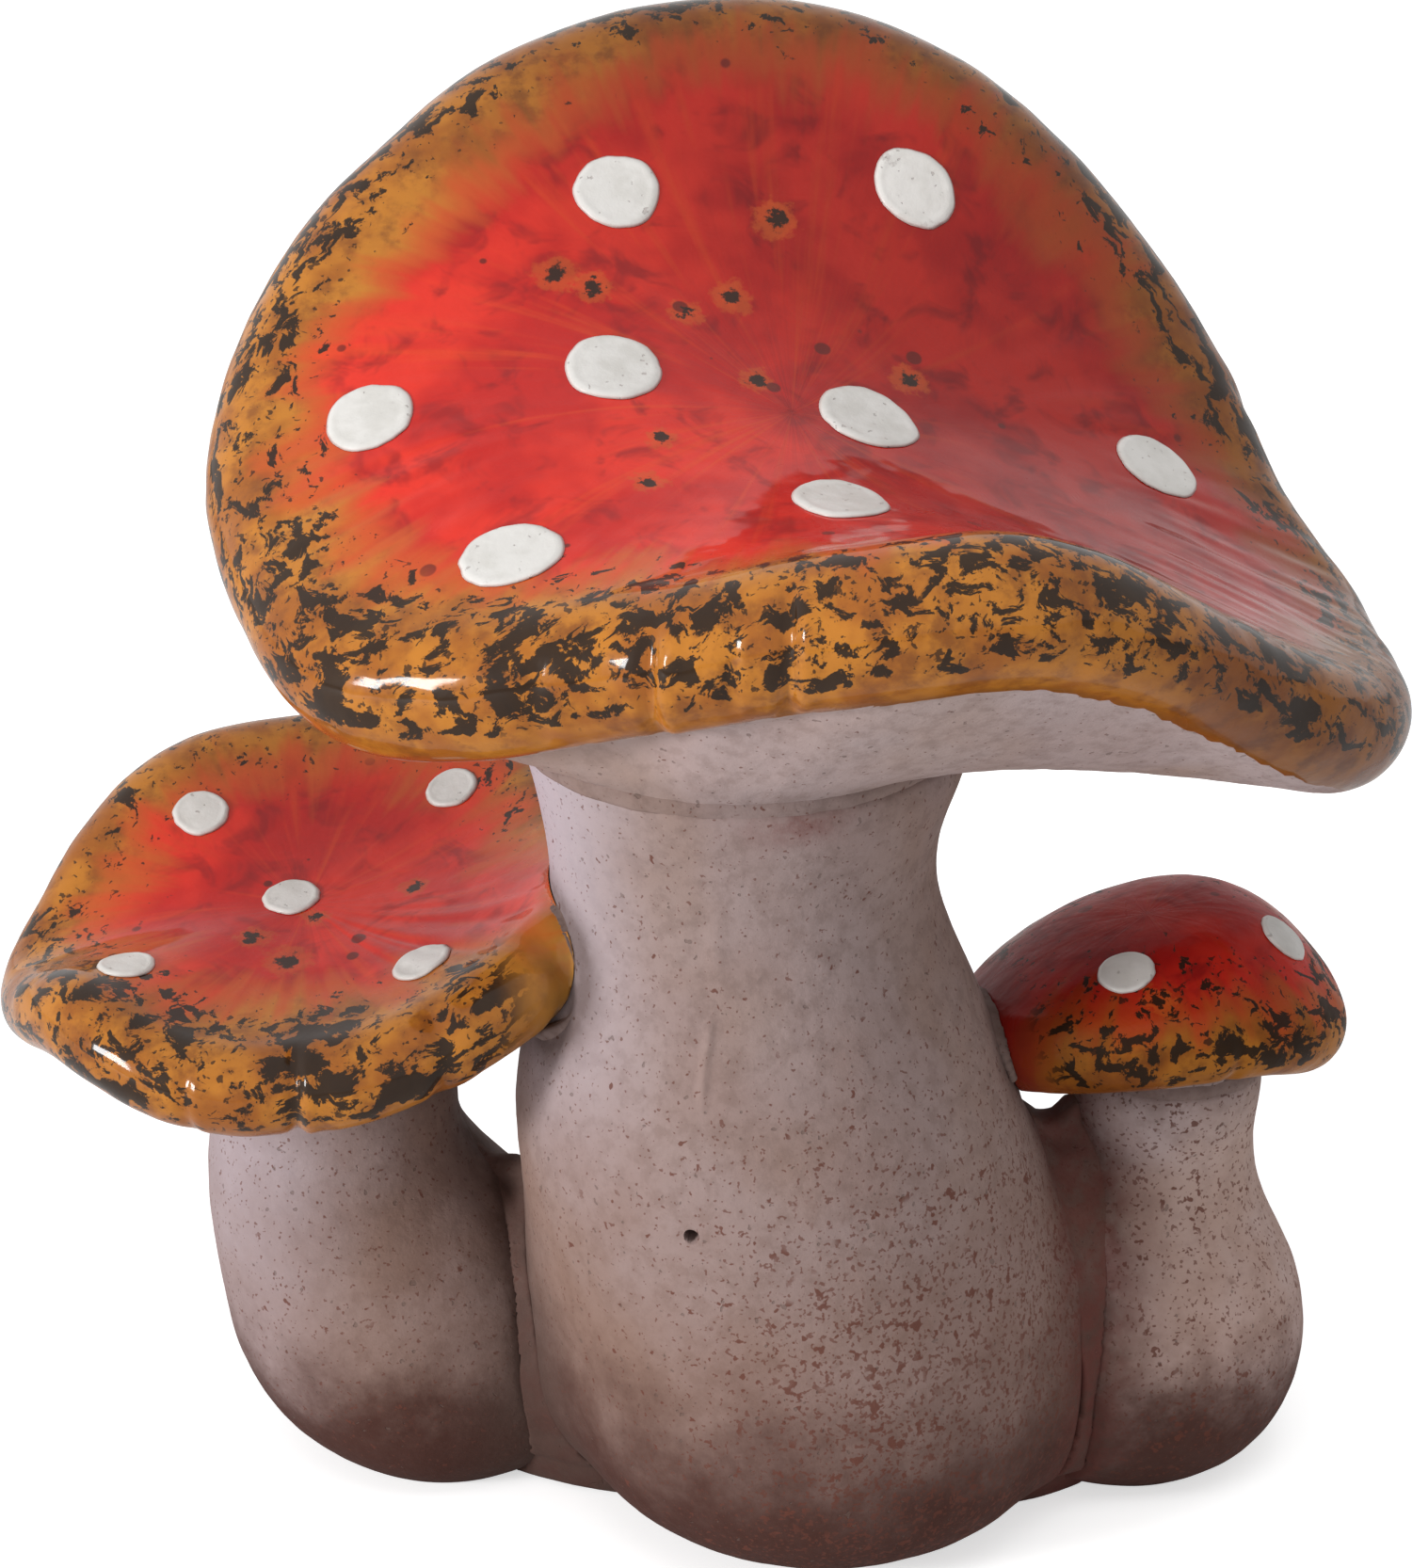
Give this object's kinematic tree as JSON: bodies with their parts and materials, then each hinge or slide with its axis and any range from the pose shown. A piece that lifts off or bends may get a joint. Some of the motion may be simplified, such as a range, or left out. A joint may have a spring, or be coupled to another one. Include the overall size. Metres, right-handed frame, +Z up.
{
  "type": "mushroom ornament",
  "caption": "Hollow ceramic ornament of a tall wavy-capped mushroom with a small one luted to each side, on flat feet.",
  "frame": {"origin": "centre of the large stem's flat foot, on the surface that the ornament stands on", "axes": "+Z up, +X to the right and -Y towards the viewer of the front of the ornament"},
  "size_m": [0.153, 0.1046, 0.1579],
  "materials": {
    "bisque": "matt biscuit-fired clay with a pale wash and rust-brown speckle",
    "slip": "matt fired slip",
    "red_glaze": "glossy red glaze fading to an orange rim with dark crackle speckle",
    "white_enamel": "satin off-white enamel dots"
  },
  "bodies": {
    "root": {"large_stem": "bisque", "left_stem": "bisque", "right_stem": "bisque", "left_stem_web": "bisque", "right_stem_web": "bisque", "large_cap_luting_ring": "slip", "left_cap_luting_ring": "slip", "right_cap_luting_ring": "slip", "left_cap_slip_smear": "slip", "right_cap_slip_smear": "slip", "large_cap": "red_glaze", "left_cap": "red_glaze", "right_cap": "red_glaze", "large_cap_spots": "white_enamel", "left_cap_spots": "white_enamel", "right_cap_spots": "white_enamel"}
  },
  "joints": []
}
